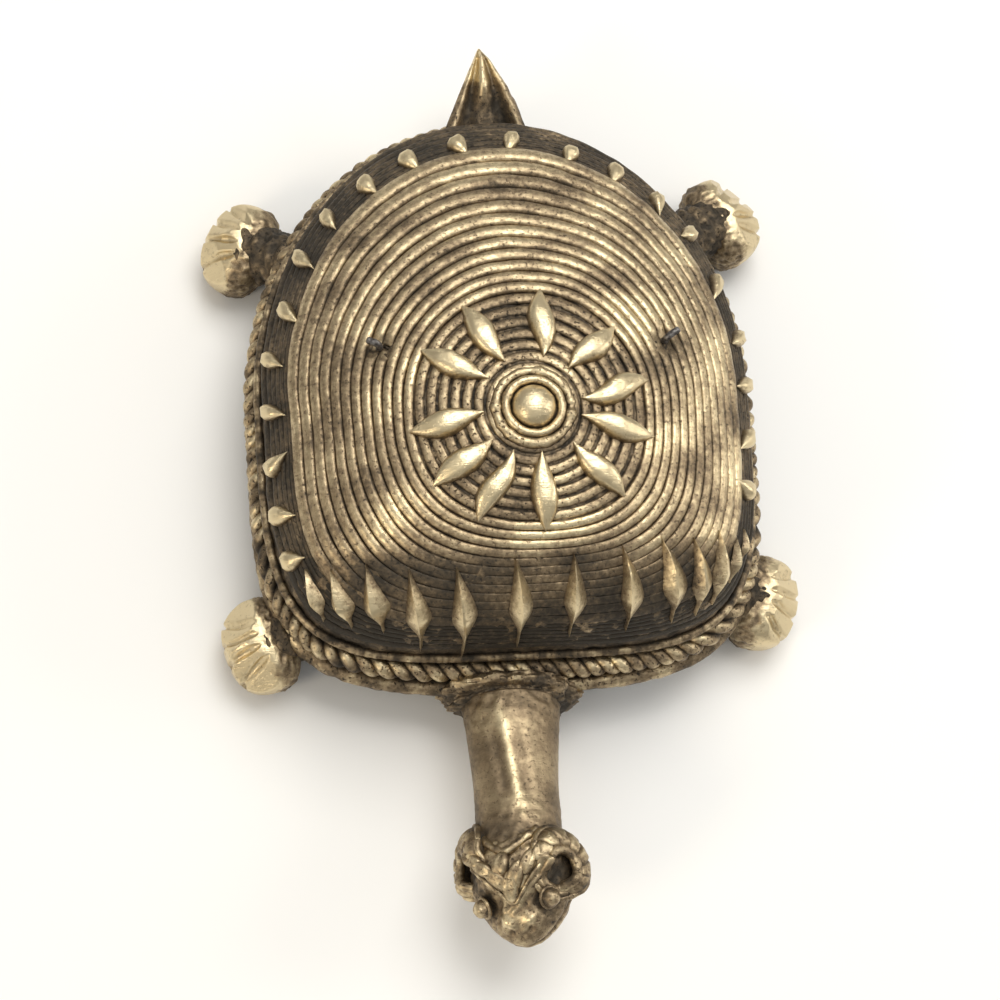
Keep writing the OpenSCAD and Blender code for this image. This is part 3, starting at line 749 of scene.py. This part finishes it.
def skull_at(z, side, height=0.0):
    """A point of the head at distance z ahead and at an angle `side` from the brow, `height` mm
    above the surface: a section that swells and shrinks as a sine, drawn lower towards the snout."""
    u = np.clip((z - skull_back) / skull_len, 0.0, 1.0)
    swell = np.maximum(np.sin(np.pi * u ** 0.80), 0) ** 0.54
    sx, cy = np.sin(side), np.cos(side)
    wide = 6.9 * swell + height
    tall = np.where(cy > 0, 6.5 * (1 - 0.17 * ease(z, 1, 6)), 6.2) * swell + height
    x = wide * np.sign(sx) * abs(sx) ** 0.92
    y = tall * np.sign(cy) * abs(cy) ** 0.92 - 0.8 * ease(z, -1, 7)
    return np.stack([x, y, z * np.ones_like(side)], -1)


def bump_at(points, place, size):
    """1 at the place and falling off around it as a bell curve of that size."""
    return np.exp(-((points - np.array(place)) ** 2).sum(-1) / size ** 2)


def on_head(grids):
    """Grids worked out in the head's own frame, put in their place on the neck."""
    return [(points @ head_axes + head_root, relief, closed) for points, relief, closed in grids]


u = (1 - np.cos(np.linspace(0.03, np.pi - 0.03, 110)[:, None])) / 2
a = around(140)[None, :]
skull_z = skull_back + skull_len * u * np.ones_like(a)
skull = skull_at(skull_z, a * np.ones_like(u))
carve = 0.11 * wander(skull, 1.3, 100) * (0.35 + 0.65 * ease(skull[..., 1], 0.0, 4.0))
carve = carve + 0.05 * wander(skull, 4.0, 101)
for m in (-1, 1):
    carve -= 0.95 * bump_at(skull, eye_place * [m, 1, 1] * 0.92, 1.9)
    carve -= 0.80 * bump_at(skull, [m * 5.6, 3.0, 0.4 + 0.8 * m], 2.2)
    carve += 0.50 * bump_at(skull, [m * 1.3, 2.2, 6.8], 1.0)
    carve -= 0.70 * bump_at(skull, [m * 1.4, 1.6, 7.8], 0.45)
    carve += 0.30 * bump_at(skull, [m * 3.2, 3.2, 6.1], 0.9)
carve -= 0.50 * np.exp(-((skull[..., 1] + 1.3) / 0.30) ** 2) * ease(skull_z, 3.0, 4.5)
skull = skull + unit(skull * [1, 1, 0.25]) * carve[..., None]
skull_relief = 0.56 + 0.75 * carve - 0.22 * (1 - ease(skull_z, -6, -2))
skin_brass = brass("head_brass", 0.05, 0.7, 0.15, 0.07)
cast("skull_cast", on_head([closed_ends(skull, skull_relief)]), skin_brass, "bell", ["skull"])

# ---- brow_braid ----
# Two rows of small wax leaves that meet in a V on the brow, each with a pressed vein, and a
# round thread laid along both sides of the V.
def on_skull(side_mm, z, x, y, height):
    """Points at (x, y) mm from the place (side_mm round the brow, z ahead), above the skull."""
    return skull_at(z + y, (side_mm + x) / 6.4, height)


braid = []
draw = np.random.default_rng(23)
# (side, mm round the brow, mm ahead) of each leaf; the last two fill the point of the V.
braid_places = ([(1, 0.9 + 1.5 * i, 1.9 - 1.5 * i) for i in range(3)]
                + [(-1, -1.3 - 1.5 * i, 2.1 - 1.7 * i) for i in range(3)] + [(1, -0.5, 0.5), (1, 0.1, 3.1)])
for m, aside_mm, z_mm in braid_places:
    v = np.linspace(0, 1, 20)[:, None]
    a = around(14)[None, :]
    width = np.sqrt(np.sin(np.pi * (0.03 + 0.94 * v ** 0.8)))
    x = 0.88 * width * np.cos(a)
    y = (3.4 * v - 1.7) * np.ones_like(a)
    h = 1.15 * width * np.clip(np.sin(a), -0.5, 0.8)
    vein = np.exp(-(x / 0.20) ** 2) * (h > 0.3) * np.sin(np.pi * v)
    slant = (-0.42 if m > 0 else 0.80) * (0.35 if abs(aside_mm) < 0.7 else 1) + draw.uniform(-0.08, 0.08)
    x, y = x * math.cos(slant) - y * math.sin(slant), x * math.sin(slant) + y * math.cos(slant)
    leaf = on_skull(aside_mm, z_mm, x, -y, h + 0.35 - 0.50 * vein)
    leaf_relief = 0.26 + 0.62 * np.clip(np.sin(a), 0, 1) ** 1.5 - 0.60 * vein
    braid.append(closed_ends(leaf, leaf_relief))
for ahead, back, reach, thick in ((4.9, 6.0, 5.2, 0.36), (-1.2, 5.0, 5.6, 0.62)):
    q = np.linspace(-1, 1, 90)
    line = skull_at(ahead - back * (np.sqrt(q ** 2 + 0.004) - 0.06), q * reach / 6.4, 0.22)
    thread_r = thick * (0.85 + 0.08 * wander(line, 1.6, 140)) * np.clip(14 * (1 - abs(q)), 0.3, 1)
    thread = swept(line, thread_r, 10, False)
    braid.append(closed_ends(thread, 0.62 + 0.2 * wander(thread, 1.5, 141)))
cast("brow_braid_cast", on_head(braid), skin_brass, "bell", ["brow_braid"])

# ---- horn_left, horn_right ----
# The braid runs on into a curled horn on each side of the head, broad behind and thin in
# front, round an open eye, with notched leaves on it and a thread along both its edges.
horn_tilt = math.radians(32)
for name, m, horn_z in (("horn_left", -1, -0.9), ("horn_right", 1, 1.0)):
    face = np.array([m * math.cos(horn_tilt), math.sin(horn_tilt), 0.0])
    upward = np.array([-m * math.sin(horn_tilt), math.cos(horn_tilt), 0.0])
    middle = np.array([m * 5.8, 2.8, horn_z])
    g = around(160)[:, None]
    c = around(26)[None, :]
    broad = (0.5 - 0.5 * np.cos(g - 0.42)) ** 1.3
    r_in, r_out = 2.15 + 0.5 * broad, 3.0 + 3.3 * broad
    rho = (r_in + r_out) / 2 + (r_out - r_in) / 2 * np.cos(c)
    cuts = 1 - np.exp(-(np.sin(g * 6.5 + 0.75 * np.cos(c)) / 0.28) ** 2) * ease(broad, 0.15, 0.5)
    tall = (0.75 + 0.75 * broad) * (0.72 + 0.28 * cuts) * np.where(np.sin(c) > 0, 1.0, 1.6)
    raised = 2.3 * ease(broad, 0.03, 0.40)
    lift = raised - 1.3 + tall * np.clip(np.sin(c), -1, 0.92) - rho ** 2 / 22
    horn = middle + (rho * np.cos(g))[..., None] * [0, 0, 1.0] + (rho * np.sin(g))[..., None] * upward
    horn = horn + (lift + 0.06 * wander(horn, 1.2, 150))[..., None] * face
    horn_relief = 0.20 + 0.50 * np.clip(np.sin(c), 0, 1) * (0.2 + 0.8 * cuts) + 0.1 * wander(horn, 2.5, 153)
    grids = [(horn, horn_relief, True)]
    for edge, proud, thick in ((r_out, 0.70, 0.42), (r_in - 0.1, 1.0, 0.66)):
        line = middle + edge * np.cos(g) * [0, 0, 1.0] + edge * np.sin(g) * upward
        line = line + (proud + raised - 2.0 - edge ** 2 / 22) * face
        tube = swept(line, thick * (1 + 0.08 * wander(line, 1.5, 151)), 12, True)
        grids.append((tube, 0.60 + 0.18 * wander(tube, 2.0, 152), True))
    cast(name + "_cast", on_head(grids), skin_brass, "bell", [name])

# ---- eye_left, eye_right ----
# Round wax balls pressed into the eye hollows, each with a lid thread round it.
eye_r, lid_r = 1.22, 1.30


def globe(b, a):
    """Directions at the angle b down from the pole and a round it."""
    return np.stack([np.sin(b) * np.cos(a), np.sin(b) * np.sin(a), np.cos(b) * np.ones_like(a)], -1)


for name, m in (("eye_left", -1), ("eye_right", 1)):
    centre = eye_place * [m, 1, 1]
    b = np.linspace(0.02, np.pi - 0.02, 26)[:, None]
    ball = eye_r * globe(b, around(36)[None, :])
    ball = ball + 0.05 * wander(ball, 1.1, 160 + m)[..., None] + centre
    look = unit(centre * [1, 1, 0.55])
    a = around(60)[:, None]
    first = unit(np.cross(look, [0.0, 0.0, 1.0]))
    lid = centre - 0.35 * look + lid_r * (np.cos(a) * first + np.sin(a) * np.cross(look, first))
    lid = swept(lid, 0.26 * (1 + 0.1 * wander(lid, 1.0, 162)), 8, True)
    out = ((ball - centre) * look).sum(-1)
    grids = [closed_ends(ball, 0.30 + 0.42 * ease(out, 0.0, 1.2)), (lid, 0.5, True)]
    cast(name + "_cast", on_head(grids), skin_brass, "bell", [name])

# ---- leg_front_left, leg_front_right, leg_rear_left, leg_rear_right ----
# Short rough cones of wax between the shell's wall and the pads. They were hard to reach
# with a file, so they are the darkest and most pitted part of the casting.
foot_x, pad_z, leg_slope = 34.0, 5.2, math.radians(60)
feet = {"front_left": (-1, rosette_y - 22.8, 196, 4.6), "front_right": (1, rosette_y - 19.6, -16, 4.6),
        "rear_left": (-1, rosette_y + 34.0, 152, 8.6), "rear_right": (1, rosette_y + 36.6, 28, 8.6)}
leg_brass = brass("leg_brass", -0.12, 1.0, 0.0, 0.14)


def at_pad(points, m, y, turn):
    """Points of a foot's own frame (X outwards along the leg, Z up) put in their place."""
    c, s = math.cos(math.radians(turn)), math.sin(math.radians(turn))
    return points @ np.array([[c, s, 0], [-s, c, 0], [0, 0, 1]]) + np.array([m * foot_x, y, pad_z])


for number, (corner, (m, y_here, turn, leg_len)) in enumerate(feet.items()):
    v = np.linspace(0, 1, 40)[:, None]
    a = around(72)[None, :]
    leg_r = 4.15 - 0.85 * v + 0.35 * abs(np.sin(v * (leg_len + 1.5) * 1.3)) - 0.15
    leg = np.stack([leg_r * np.cos(a), leg_r * np.sin(a), (0.6 + (leg_len + 0.8) * v) * np.ones_like(a)], -1)
    rough = 0.15 * wander(leg, 1.5, 170 + number) + 0.12 * wander(leg, 4.0, 175 + number)
    leg = leg * (1 + (rough / 4)[..., None] * level_only)
    lean = np.array(Matrix.Rotation(leg_slope, 3, "Y"))
    cast(f"leg_{corner}_cast", [closed_ends(at_pad(leg @ lean, m, y_here, turn), 0.28 + 0.7 * rough)],
         leg_brass, "bell", [f"leg_{corner}"])

# ---- foot_front_left, foot_front_right, foot_rear_left, foot_rear_right ----
# Each foot is a wax fan with a rounded edge, cut with lens-shaped gouges for toes. Its top
# was filed into bright facets, and its flat sole stands on the table.
pad_out, pad_back, pad_side, pad_top, pad_under = 5.55, 4.1, 6.45, 4.55, 6.3
pad_square, heel, toe_count, toe_spread, facet_count = 2.5, 4.6, 4, 0.30, 5
for number, (corner, (m, y_here, turn, leg_len)) in enumerate(feet.items()):
    ball = globe(np.linspace(0.0, np.pi, 96)[:, None], around(150)[None, :])
    sides = np.stack([np.where(ball[..., 0] > 0, pad_out, pad_back), np.full(ball.shape[:2], pad_side),
                      np.where(ball[..., 2] > 0, pad_top, pad_under)], -1)
    size_here = ((abs(ball) / sides) ** pad_square).sum(-1) ** (-1 / pad_square)
    pad = ball * size_here[..., None]
    reach = np.hypot(pad[..., 0] + heel, pad[..., 1])
    fan = np.arctan2(pad[..., 1], pad[..., 0] + heel)
    gouge = np.zeros_like(fan)
    for i in range(toe_count):
        toe = toe_spread * (i - (toe_count - 1) / 2) + draw.uniform(-0.03, 0.03)
        lens = 1 - (reach * (fan - toe) / 0.66) ** 2 - ((reach - draw.uniform(7.9, 9.0)) / 2.5) ** 2
        gouge = np.maximum(gouge, np.clip(lens, 0, 1) ** 0.5 * (pad[..., 2] > -3.0))
    for _ in range(facet_count):
        facing = unit(np.array([draw.uniform(0.1, 0.9), draw.uniform(-0.7, 0.7), draw.uniform(0.45, 0.9)]))
        over = (pad * facing).sum(-1) - draw.uniform(4.5, 5.0)
        pad = pad - np.maximum(over, 0)[..., None] * facing
    back = ease(0.4 * wander(pad, 3.0, 187 + number) - pad[..., 0], -1.0, 0.8)
    rough = (0.006 + 0.09 * back) * wander(pad, 1.1, 180 + number) + 0.02 * wander(pad, 5.0, 185 + number)
    pad = pad * (1 + ((rough - 0.70 * gouge) / 5.5)[..., None])
    pad[..., 2] = np.maximum(pad[..., 2], -pad_z)
    relief = 0.92 - 0.60 * back + 1.0 * rough - 0.12 * gouge - 0.50 * ease(-pad[..., 2], 0.5, 4.5)
    cast(f"foot_{corner}_cast", [(at_pad(pad, m, y_here, turn), relief, False)], filed_brass, "bell",
         [f"foot_{corner}"])

# ---- clapper_wire ----
# Soft iron wire pushed through both holes and bent over outside, with a grey scale on it.
# The clapper hangs from its middle inside the bell.
iron = bpy.data.materials.new("scaled_iron")
iron.use_nodes = True
tree = iron.node_tree
place = add_node(tree, "TexCoord", {}).outputs["Object"]
scale_spots = noise(tree, place, 1800, 4.0)
shader = tree.nodes["Principled BSDF"]
scale_colours = [(0.30, (0.045, 0.040, 0.037)), (0.52, (0.16, 0.15, 0.145)),
                 (0.66, (0.30, 0.29, 0.28)), (0.75, (0.20, 0.10, 0.055))]
tree.links.new(ramp(tree, scale_spots, scale_colours), shader.inputs["Base Color"])
tree.links.new(span(tree, scale_spots, 0.3, 0.7, 0.68, 0.42), shader.inputs["Roughness"])
tree.links.new(span(tree, scale_spots, 0.68, 0.75, 0.95, 0.2), shader.inputs["Metallic"])
iron_bump = add_node(tree, "Bump", {"Height": scale_spots, "Strength": 1.0, "Distance": 0.05 * MM})
tree.links.new(iron_bump.outputs[0], shader.inputs["Normal"])

cross_z, wire_r, cross_y = 25.4, 0.47, 13.6


def rounded(corners, radius, step=0.25):
    """A path through the corners with each one rounded: quadratic arcs join the straight runs."""
    corners = np.array(corners, float)
    parts = [corners[:1]]
    for before, here, after in zip(corners[:-2], corners[1:-1], corners[2:]):
        q = np.linspace(0, 1, 9)[:, None]
        start, stop = here + unit(before - here) * radius, here + unit(after - here) * radius
        parts.append((1 - q) ** 2 * start + 2 * q * (1 - q) * here + q ** 2 * stop)
    path = np.concatenate(parts + [corners[-1:]])
    length = np.concatenate([[0], np.cumsum(np.linalg.norm(np.diff(path, axis=0), axis=1))])
    at = np.linspace(0, length[-1], int(length[-1] / step))
    return np.stack([np.interp(at, length, path[:, i]) for i in range(3)], -1)


wire = rounded([(-20.7, 14.3, 31.5), (-19.0, 13.7, 31.2), (-18.8, cross_y, cross_z),
                (18.8, cross_y, cross_z), (19.0, 13.7, 31.2), (20.7, 14.7, 31.6)], 0.8, 0.2)
thick = wire_r * (1 + 0.04 * wander(wire, 2.0, 190))
thick[[0, -1]] *= 0.75
cast("clapper_wire_drawn", [closed_ends(swept(wire, thick, 14, False), 0.5)], iron, "bell",
     ["clapper_wire"])

# ---- clapper_hook ----
# A second length of the same wire: an open eye over the cross wire, closed up with pliers,
# and a straight shank that goes down into the bob.
loop_r, bob_z = 1.32, cross_z - 17.5
loop_z = cross_z - loop_r + 1.05
a = np.linspace(-0.5 * np.pi, 1.45 * np.pi, 60)[::-1]
loop_x = 0.55 * (a - a[-1]) / (a[0] - a[-1])
loop = np.stack([loop_x, cross_y + loop_r * np.cos(a), loop_z + loop_r * np.sin(a)], -1)
shank_z = np.linspace(loop_z - loop_r, bob_z + 4, 42)[2:-1]
shank = np.stack([np.zeros(39), np.full(39, cross_y), shank_z], -1)
hook = np.concatenate([loop, shank])
hook_tube = swept(hook, 0.46 * (1 + 0.04 * wander(hook, 2.0, 191)), 14, False)
cast("clapper_hook_bent", [closed_ends(hook_tube, 0.5)], iron, "clapper", ["clapper_hook"])

# ---- clapper_bob ----
# A cast brass drop run on to the end of the shank, left as it came from the mould, with a
# faint flash line round it and a bright band where it strikes the shell.
ball_r, ball_share, top_r, top_rise = 3.95, 0.8, 0.95, 3.6
b = np.linspace(0, 1, 70)
up = (1 + ball_share) * 2 * b - 1
fall = top_r + 2.75 * (1 - ease(2 * b - 1, 0.0, 0.85)) ** 1.2
bob_r = np.where(b < 0.5, ball_r * np.sqrt(np.clip(1 - up ** 2, 0, 1)), fall)
bob_height = np.where(b < 0.5, ball_r * up, ball_r * ball_share + top_rise * (2 * b - 1))
bob = spun(np.stack([bob_r, bob_height], -1), [0, cross_y, bob_z], 192, 0.06, 90)
flash = np.exp(-((bob[..., 0]) / 0.25) ** 2) * 0.10
bob = bob + (bob - np.array([0, cross_y, bob_z])) * (flash / 4)[..., None]
struck = np.exp(-((bob[..., 2] - bob_z) / 1.3) ** 2)
cast("clapper_bob_cast", [(bob, 0.35 + 0.5 * struck, False)], brass("bob_brass", 0.0, 0.8, 0.0, 0.09),
     "clapper", ["clapper_bob"])
